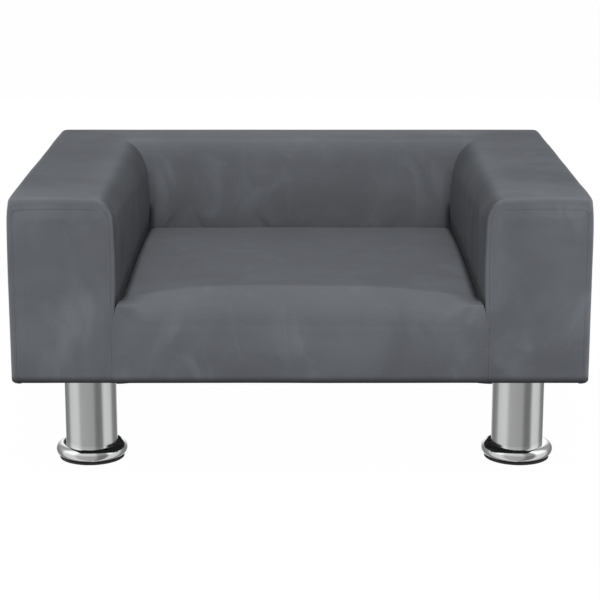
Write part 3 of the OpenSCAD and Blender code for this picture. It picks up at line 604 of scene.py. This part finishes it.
def arm_front_grid(side):
    """The right arm's front panel from its hem to its top seam, mirrored for the left arm."""
    seam_z = TOP_Z - SEAM_TOP
    level_top = seam_z - PANEL_GAP - SEAM_CORNER_IN
    wide = inner_e(0, TOP_Z - INNER_R_FRONT)
    even = np.linspace(0, 1, PANEL_COLS)
    eased = 0.5 - 0.5 * np.cos(np.linspace(0, math.pi, PANEL_COLS))
    shares = mix(even, eased, PANEL_EASE)

    def upright(z, r):
        """How much of a rounded corner's radius is left at a height."""
        h = min(max(z - (seam_z - r), 0), r)
        return math.sqrt(max(0, r * r - h * h))

    def left_e(z):
        return SEAM_OUT + PANEL_GAP + SEAM_CORNER_OUT - upright(z, SEAM_CORNER_OUT)

    def right_e(z):
        gap = mix(SEAM_GAP, PANEL_GAP, np.clip((z - STRIP_Z) / STRIP_FADE, 0, 1))
        end = inner_e(0, z) - SEAM_IN * join_share(z) - gap
        return end - SEAM_CORNER_IN + upright(z, SEAM_CORNER_IN)

    def row(z, depth, start, turn=90):
        """A row across the panel, whose inner end is turned back by an angle in degrees."""
        low, high = max(left_e(z), start), right_e(z)
        e = mix(low, high, shares)
        gap = np.minimum(np.minimum(e - low, high - e), seam_z - z)
        lift = min(1, max(0, (z - UNDER_Z) / (seam_z - UNDER_Z)))
        crown = lift * CROWN_H * (1 - ((e - wide / 2) / (wide / 2)) ** 2)
        valley = SEAM_SINK * np.clip(1 - gap / VALLEY_W, 0, 1) ** 2
        puff = PUFF_H * bell(gap - PUFF_AT, PUFF_W)
        fill = np.clip((z - UNDER_Z - BEND_R) / PUFF_RISE, 0, 1)
        y = FRONT_Y + depth + valley - puff * fill
        points = np.column_stack([HALF_W - e, y, z + crown])
        back_by = SHORT_TUCK if z > STRIP_Z else EDGE_TUCK
        a = math.radians(turn)
        turned = points[-1] + back_by * np.array([0, math.sin(a), math.cos(a)])
        return np.vstack([points, mix(points[-1], turned, 0.5), turned])

    rows = [row(UNDER_Z, depth, depth + FIT, 0) for depth in (HEM_W, HEM_MID)]
    for a in arc(0, 90, BEND_PTS):
        left = 1 - math.sin(a)
        z = UNDER_Z + BEND_R * (1 - math.cos(a))
        rows.append(row(z, BEND_R * left, (BEND_R + FIT) * left, math.degrees(a)))
    rows += [row(mix(UNDER_Z + BEND_R, level_top, s), 0, 0)
             for s in np.linspace(0, 1, PANEL_ROWS)[1:-1]]
    rows += [row(level_top + SEAM_CORNER_IN * math.sin(a), 0, 0)
             for a in arc(0, 90, PANEL_CORNER_ROWS)]
    grid = np.array(rows)
    swell = swells(grid * (side, 1, 1), PANEL_SWELLS) * edge_fade(grid.shape, *PANEL_FADE)
    return mirrored(raised(grid, normals(grid), swell), side)


def back_grid():
    """The back rest's cover, from its meeting with the outside back down to the seat."""
    section = outline(SEAT_D, 0, HEM_W)
    start = WRAP_END + FIT / 2
    section = section[section[:, 0] > start + MEET_STEP]
    on_top = np.argmax(section[:, 1] > TOP_Z - NEAR_TOP)
    section = np.vstack([[start, top_height(start, BACK_T, 0)], section[on_top:]])
    even = np.linspace(-1, 1, BACK_COLS)
    shares = mix(even, np.sin(even * math.pi / 2), BACK_EASE)
    grid = np.array([np.column_stack([shares * (HALF_W - e - MITRE_GAP / 2),
                                      np.full(BACK_COLS, BACK_Y - e), np.full(BACK_COLS, z)])
                     for e, z in section])
    out = section[:, 0]
    to_mitre = (1 - np.abs(shares))[None, :] * (HALF_W - out)[:, None]
    to_mitre[out < ARM_W / 2] = FAR
    drawn = crease(to_mitre, grid[..., 2])
    grid = grid + np.stack([drawn * np.sign(shares), drawn, 0 * drawn], axis=-1)
    swell = swells(grid, BACK_SWELLS)
    up = grid[..., 2] - UNDER_Z - SEAT_H
    for x, wide, deep, slant in PUCKERS:
        swell -= deep * bell(grid[..., 0] - x - slant * up, wide) * bell(up, PUCKER_RISE)
    return raised(grid, normals(grid), swell * edge_fade(grid.shape, *BACK_FADE))


def outside_back_grid():
    """The outside back's cover round both rear corners, from its hem up onto the top."""
    def row(drawn, z):
        """A row from side to side, drawn in from the body's outline."""
        r = max(CORNER_R - drawn, WRAP_LEAST_R)
        side_x, rear_y = HALF_W - drawn, BACK_Y - drawn
        bend = [(side_x - r * (1 - math.cos(a)), rear_y - r + r * math.sin(a))
                for a in arc(0, 90, WRAP_CORNER_COLS)]
        points = [(-x, y, z) for x, y in bend]
        points += [(s * (side_x - r), rear_y, z) for s in np.linspace(-1, 1, WRAP_COLS)[1:-1]]
        points += [(x, y, z) for x, y in reversed(bend)]
        return np.array(points)

    base = row(0, UNDER_Z)
    fall = np.clip((base[:, 1] - BACK_Y + CORNER_R) / CORNER_R, 0, 1)
    hem = np.column_stack([base[:, 0] * (HALF_W - HEM_W) / HALF_W,
                           BACK_Y - mix(CORNER_R, HEM_W, fall), base[:, 2]])
    edge_z = top_height(OUTER_R, BACK_T, 0) - OUTER_R
    rows = [hem, mix(hem, row(BEND_R, UNDER_Z), 0.5)]
    rows += [row(BEND_R * (1 - math.sin(a)), UNDER_Z + BEND_R * (1 - math.cos(a)))
             for a in arc(0, 90, BEND_PTS)]
    rows += [row(0, z) for z in np.linspace(UNDER_Z + BEND_R, edge_z, WRAP_ROWS)[1:-1]]
    rows += [row(OUTER_R * (1 - math.cos(a)), edge_z + OUTER_R * math.sin(a))
             for a in arc(0, 90, EDGE_PTS)]
    rows += [row(WRAP_END, top_height(WRAP_END, BACK_T, 0))]
    grid = np.array(rows)
    swell = swells(grid, WRAP_SWELLS) * edge_fade(grid.shape, *WRAP_FADE)
    return raised(grid, normals(grid), swell)


def seat_mid_z(depth):
    return UNDER_Z + SEAT_H + SEAT_RISE * math.sin(math.pi * depth / SEAT_D)


def seat_edge_z(depth):
    return seat_mid_z(depth) - SEAT_SINK * (1 - min(depth / SINK_DEPTH, 1)) ** SINK_EASE


def seat_level(depth, u):
    """Height of the seat, with u from -1 to 1 across it."""
    return mix(seat_mid_z(depth), seat_edge_z(depth), np.abs(u) ** 3)


def seat_roll(u, depth):
    """How far the seat's rolled sides lie below its level."""
    s = np.clip((np.abs(u) - SIDE_U) / SIDE_SPAN, 0, 1)
    share = min(1, max(0, (depth - ROLL_START) / ROLL_GROW))
    return SEAT_ROLL * (1 - np.sqrt(np.maximum(0, 1 - s * s))) * share


def seat_gap(depth):
    """The gap between the seat and an arm, narrower at the front and at the rear."""
    from_rear = min(1, max(0, (SEAT_D - REAR_GAP_START - depth) / REAR_GAP_GROW))
    from_front = min(1, FRONT_GAP_SHARE + FRONT_GAP_GAIN * depth / FRONT_GAP_GROW)
    return mix(REAR_GAP, SEAT_GAP, from_rear) * from_front


def lip_profile():
    """Shares of the depth and the height left on the way down the seat's front edge."""
    run = np.linspace(0, LIP_RUN[-1], LIP_STEPS)
    turn = np.radians(np.interp(run, LIP_RUN, LIP_TURN))
    ahead, down = np.cumsum(np.cos(turn)), np.cumsum(np.sin(turn))
    at = np.linspace(0, LIP_STEPS - 1, LIP_ROWS).astype(int)
    return list(zip(1 - ahead[at] / ahead[-1], 1 - down[at] / down[-1]))


def seat_grid():
    """The seat's cover, from its tucked rear edge over the front edge down to its hem."""
    inner = np.linspace(0, SIDE_U, SEAT_COLS)
    outer = SIDE_U + SIDE_SPAN * np.sin(np.linspace(0, math.pi / 2, SEAT_SIDE_COLS))[1:]
    half = np.concatenate([inner, outer])
    u = np.concatenate([-half[:0:-1], half])
    dip = SEAM_SINK * np.clip((np.abs(u) - DIP_U) / DIP_SPAN, 0, 1) ** 2

    def reach(depth, z, gap):
        """Half the width: the front runs over the arms' edges to the seams of their panels."""
        part = np.clip(1 - (depth - REACH_START) / (FRONT_R - SEAM_SINK), 0, 1)
        below_arm = (np.clip((DECK_Z + UNDER_ARM_RISE - z) / UNDER_ARM_FADE, 0, 1)
                     * np.clip((FRONT_R - depth) / UNDER_ARM_FADE, 0, 1))
        over = np.maximum((1 - np.sqrt(1 - part ** 2)) ** SEAM_TURN, below_arm)
        return HALF_W - inner_e(depth, z) + SEAM_IN * join_share(z) * over - gap

    def place(depth, z, fall=0.0, back_by=0.0, gap=SEAM_GAP):
        """A row across the seat. Its ends are tucked down beside the arms and back."""
        depth, z = depth + 0 * u, z + 0 * u
        core = np.column_stack([u * reach(depth, z, gap), FRONT_Y + depth, z])
        ends = []
        for i, sign in ((0, -1), (-1, 1)):
            for s in TUCK_STEPS:
                low = z[i] - fall * max(0, z[i] - DECK_Z - DECK_CLEAR) * s
                far = depth[i] + back_by * s
                ends.append([sign * reach(far, low, gap), FRONT_Y + far, low])
        return np.vstack([ends[2::-1], core, ends[3:]])

    rows = []
    middle = SEAT_D - FIT - SEAT_REAR_R
    foot = seat_level(SEAT_D, u) - seat_roll(u, SEAT_D) - SEAT_REAR_R
    for s in REAR_STEPS:
        z = mix(foot, DECK_Z, s)
        rows.append(place(SEAT_D - FIT, z, REAR_FALL * (1 - s), -REAR_TUCK, REAR_GAP))
    for a in arc(0, 90, SEAT_REAR_ROWS):
        up = math.sin(a)
        depth = middle + SEAT_REAR_R * math.cos(a)
        z = seat_level(depth, u) - seat_roll(u, depth) - SEAT_REAR_R * (1 - up)
        shift = -REAR_TUCK * (1 + REAR_EDGE_TUCK * up)
        rows.append(place(depth, z, mix(REAR_EDGE_FALL, 1, up), shift, REAR_GAP))
    for depth in np.linspace(middle, SEAT_ROUND, SEAT_ROWS)[1:]:
        z = seat_level(depth, u) - seat_roll(u, depth)
        left = max(0.0, 1 - (middle - depth) / REAR_TUCK_GROW)
        rows.append(place(depth, z, 1, -REAR_TUCK * (1 + REAR_EDGE_TUCK) * left, seat_gap(depth)))
    # The rounded front edge is squarer and higher towards its corners
    corner = np.clip((np.abs(u) - CORNER_U) / CORNER_SPAN, 0, 1)
    corner = corner * corner * (3 - 2 * corner)
    squarer = np.clip((np.abs(u) - SQUARE_U) / SQUARE_SPAN, 0, 1) ** 2
    square = mix(LIP_ROUND, LIP_SQUARE, squarer)
    for left, height in lip_profile()[1:]:
        depth = SEAT_ROUND * left
        height = mix(height, (1 - (1 - left) ** square) ** LIP_POWER, corner)
        high = (seat_level(SEAT_ROUND, u) - seat_roll(u, depth)
                + LIP_LIFT * corner * min(1, LIP_LIFT_GROW * (1 - left)))
        rows.append(place(depth + dip * (1 - left), FRONT_TOP_Z + (high - FRONT_TOP_Z) * height,
                          min(1, LIP_FALL_GROW * left), EDGE_TUCK * (1 - left),
                          mix(SEAM_GAP, seat_gap(SEAT_ROUND), left)))
    for z in np.linspace(FRONT_TOP_Z, UNDER_Z + BEND_R, SEAT_FRONT_ROWS)[1:]:
        rows.append(place(dip, z, 0, EDGE_TUCK))
    for a in arc(90, 0, BEND_PTS)[1:]:
        up = math.sin(a)
        rows.append(place(BEND_R * (1 - up) + dip * up, UNDER_Z + BEND_R * (1 - math.cos(a)), 0,
                          EDGE_TUCK * up + SHORT_TUCK))
    rows += [place(depth, UNDER_Z, 0, SHORT_TUCK) for depth in (HEM_MID, HEM_W)]
    grid = np.array(rows)
    swell = swells(grid, SEAT_SWELLS) * edge_fade(grid.shape, *SEAT_FADE)
    return raised(grid, normals(grid), swell)


def upholster(name, grid, *nodes):
    obj = sheet_object(name, grid, VELVET)
    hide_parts(*nodes)
    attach(obj, "root")
    return obj


for side, word in ((-1, "left"), (1, "right")):
    cover = upholster(f"{word}_arm_velvet", arm_grid(side), f"{word}_arm_cover",
                      f"{word}_arm_foam")
    front = upholster(f"{word}_arm_front_velvet", arm_front_grid(side),
                      f"{word}_arm_front_cover")
back = upholster("back_velvet", back_grid(), "back_cover", "back_foam")
outside_back = upholster("outside_back_velvet", outside_back_grid(), "outside_back_cover")
seat = upholster("seat_velvet", seat_grid(), "seat_cover", "seat_foam")


# Underside: the stretched black cloth and its staples

def underside():
    """The cloth sags a little, ripples between the staples and lies flat at its cut edge."""
    x, y = HALF_W - DUST_INSET, BACK_Y - DUST_INSET
    across, along = np.meshgrid(np.linspace(-x, x, DUST_COLS), np.linspace(-y, y, DUST_ROWS))
    grid = np.stack([across, along, np.full(across.shape, UNDER_Z - DUST_T)], axis=-1)
    inset = np.minimum(x - np.abs(across), y - np.abs(along))
    ripple = clouds(grid, RIPPLE_SIZE, RIPPLE_SEED) * bell(inset, RIPPLE_W) * DUST_RIPPLE
    grid[..., 2] -= DUST_SAG + ripple - DUST_EDGE * np.clip(1 - inset / DUST_EDGE_W, 0, 1)
    obj = sheet_object("underside_cloth", grid[:, ::-1], UNDERSIDE, thick=DUST_SHEET_T)
    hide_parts("dust_cover")
    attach(obj, "root")


def staples():
    """Wire staples round the edge of the black cloth: a crown and two short legs each."""
    x, y = HALF_W - DUST_INSET - STAPLE_INSET, BACK_Y - DUST_INSET - STAPLE_INSET
    places = [(px, s * y, 0) for s in (-1, 1)
              for px in np.linspace(-x + STAPLE_END_X, x - STAPLE_END_X, STAPLES_WIDE)]
    places += [(s * x, py, 90) for s in (-1, 1)
               for py in np.linspace(-y + STAPLE_END_Y, y - STAPLE_END_Y, STAPLES_DEEP)]
    rng = np.random.default_rng(7)
    half, bend, sides = STAPLE_HALF, STAPLE_BEND, WIRE_SIDES
    path = [(-half, STAPLE_LEG), (-half, bend), (-half + bend, 0.0),
            (half - bend, 0.0), (half, bend), (half, STAPLE_LEG)]
    ring = [(WIRE_R * math.cos(a), WIRE_R * math.sin(a))
            for a in np.radians(np.arange(0, 360, 360 // sides))]
    verts, faces = [], []
    for px, py, turn in places:
        t = math.radians(turn + rng.uniform(-STAPLE_TURN, STAPLE_TURN))
        px = px + rng.uniform(-STAPLE_SLIP_X, STAPLE_SLIP_X)
        py = py + rng.uniform(-STAPLE_SLIP_Y, STAPLE_SLIP_Y)
        start = len(verts)
        for i, (a, b) in enumerate(path):
            before, after = path[max(i - 1, 0)], path[min(i + 1, len(path) - 1)]
            d = np.array([after[0] - before[0], after[1] - before[1]])
            d = d / np.linalg.norm(d)
            for c, h in ring:
                u, v = a - d[1] * h, b + d[0] * h
                verts.append((px + u * math.cos(t) - c * math.sin(t),
                              py + u * math.sin(t) + c * math.cos(t), STAPLE_Z + v))
        for first in range(start, len(verts) - sides, sides):
            for j in range(sides):
                k = (j + 1) % sides
                faces.append((first + j, first + sides + j, first + sides + k, first + k))
        faces.append(tuple(range(start, start + sides)))
        faces.append(tuple(reversed(range(len(verts) - sides, len(verts)))))
    obj = mesh_object("staples", verts, faces, ZINC)
    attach(obj, "root")


underside()
staples()


# CAD nodes that stay get their materials

def repaint(names, material):
    for name in names:
        materials = frame["nodes"][name].data.materials
        materials.clear()
        materials.append(material)


LEGS = ["front_left", "front_right", "rear_left", "rear_right"]
repaint([n for n in frame["nodes"] if n.endswith("_board") or n.endswith("_cleat")], TIMBER)
repaint(["base_panel", "front_rail", "seat_deck", "corner_blocks"], TIMBER)
repaint([f"{leg}_{part}" for leg in LEGS for part in ("tube", "plate")], TUBE_STEEL)
repaint([f"{leg}_foot_ring" for leg in LEGS], CHROME)
repaint([f"{leg}_foot_pad" for leg in LEGS], RUBBER)
repaint([f"{leg}_{part}" for leg in LEGS for part in ("bolt", "tee_nut")], ZINC)


# Floor, light and camera, in metres and watts

WHITE = (1, 1, 1)
# The even light and how fast it fades towards the sides
AMBIENT, AMBIENT_FADE, AMBIENT_COLOUR = 0.49, 2.0, (0.97, 0.985, 1.0)
# What polished metal mirrors, by the angle round the studio in degrees from the front
STUDIO_GREYS = [(-180, 0.9), (-140, 0.22), (-112, 0.30), (-95, 0.72), (-60, 0.78), (-38, 0.46),
                (12, 0.42), (30, 0.20), (50, 0.20), (66, 0.78), (98, 0.72), (118, 0.26),
                (145, 0.22), (180, 0.9)]
STUDIO_UP_BAND = (-0.1, 0.4, 1.0, 1.65)
FLOOR_HALF = 6.0
FLOOR_LIT, FLOOR_SEEN, FLOOR_GLOW = (0.30, 0.305, 0.31), (0.95, 0.95, 0.95), 0.985
# Name, place, target, width, height and power
LAMPS = [("key", (0.0, -1.35, 2.4), (0, 0, 0.15), 0.9, 1.1, 28.5),
         ("front", (0.0, -2.5, 1.05), (0, 0, 0.15), 0.9, 0.9, 35),
         ("rear", (0.0, 2.3, 0.36), (0, 0, 0.17), 1.3, 0.5, 44),
         ("side", (-1.9, 0.0, 0.13), (0, 0, 0.13), 1.0, 0.2, 26),
         ("side", (1.9, 0.0, 0.13), (0, 0, 0.13), 1.0, 0.2, 26)]
CAMERA_PLACE, CAMERA_DOWN = (0, -1.7631, 0.5514), 13.766
LENS, SENSOR, CLIP = 113.06, 36.0, (0.05, 50)


def world():
    """Even light for the cloth, a studio in greys for the metal to mirror, and white behind."""
    scene = bpy.context.scene
    scene.world = bpy.data.worlds.new("studio")
    scene.world.use_nodes = True
    scene.world.node_tree.nodes.clear()
    graph = Graph(scene.world.node_tree)
    maths = graph.maths
    seen, glossy = graph.rays()
    x, y, z = graph.split(graph.coords("Generated"))
    level = maths("POWER", maths("SUBTRACT", 1.0, maths("MULTIPLY", x, x)), AMBIENT_FADE)
    turn = maths("ARCTAN2", x, maths("MULTIPLY", y, -1.0))
    share = graph.ranged(turn, -math.pi, math.pi, kind="LINEAR")
    greys = graph.ramp(share, [((angle + 180) / 360, grey) for angle, grey in STUDIO_GREYS])

    def background(colour, strength):
        return graph.node("Background", {"Color": colour, "Strength": strength}).outputs[0]

    ambient = background(AMBIENT_COLOUR, maths("MULTIPLY", level, AMBIENT))
    studio = background(greys, graph.ranged(z, *STUDIO_UP_BAND))
    around = graph.blend(seen, graph.blend(glossy, ambient, studio), background(WHITE, 1.0))
    graph.node("OutputWorld", {"Surface": around})


def floor():
    """White where it is seen, and grey for the light that it throws back."""
    half = FLOOR_HALF
    mesh = bpy.data.meshes.new("floor")
    mesh.from_pydata([(-half, -half, 0), (half, -half, 0), (half, half, 0), (-half, half, 0)],
                     [], [(0, 1, 2, 3)])
    obj = linked("floor", mesh)
    material = bpy.data.materials.new("floor")
    material.use_nodes = True
    material.node_tree.nodes.clear()
    graph = Graph(material.node_tree)
    seen, glossy = graph.rays()
    lit = graph.node("BsdfDiffuse", {"Color": FLOOR_LIT}).outputs[0]
    shown = graph.node("BsdfDiffuse", {"Color": FLOOR_SEEN}).outputs[0]
    glow = graph.node("Emission", {"Color": WHITE, "Strength": 1.0}).outputs[0]
    surface = graph.blend(seen, lit, graph.blend(FLOOR_GLOW, shown, glow))
    # It is clear to mirrored rays, so that polished metal shows the studio round it, and from
    # below, so that the underside can be seen
    below = graph.node("NewGeometry").outputs["Backfacing"]
    clear = graph.node("BsdfTransparent").outputs[0]
    surface = graph.blend(graph.maths("MAXIMUM", glossy, below), surface, clear)
    graph.node("OutputMaterial", {"Surface": surface})
    mesh.materials.append(material)


def lamp(name, place, target, width, height, power):
    light = bpy.data.lights.new(name, "AREA")
    light.shape = "RECTANGLE"
    light.size, light.size_y = width, height
    light.energy = power
    obj = linked(name, light)
    obj.location = place
    obj.rotation_mode = "QUATERNION"
    obj.rotation_quaternion = (Vector(target) - Vector(place)).to_track_quat("-Z", "Y")
    obj.visible_glossy = False


def camera():
    data = bpy.data.cameras.new("camera")
    data.sensor_width, data.lens = SENSOR, LENS
    data.clip_start, data.clip_end = CLIP
    obj = linked("camera", data)
    obj.location = CAMERA_PLACE
    obj.rotation_euler = (math.radians(90 - CAMERA_DOWN), 0, 0)
    bpy.context.scene.camera = obj


world()
floor()
for values in LAMPS:
    lamp(*values)
camera()
bpy.context.scene.view_settings.view_transform = "Standard"
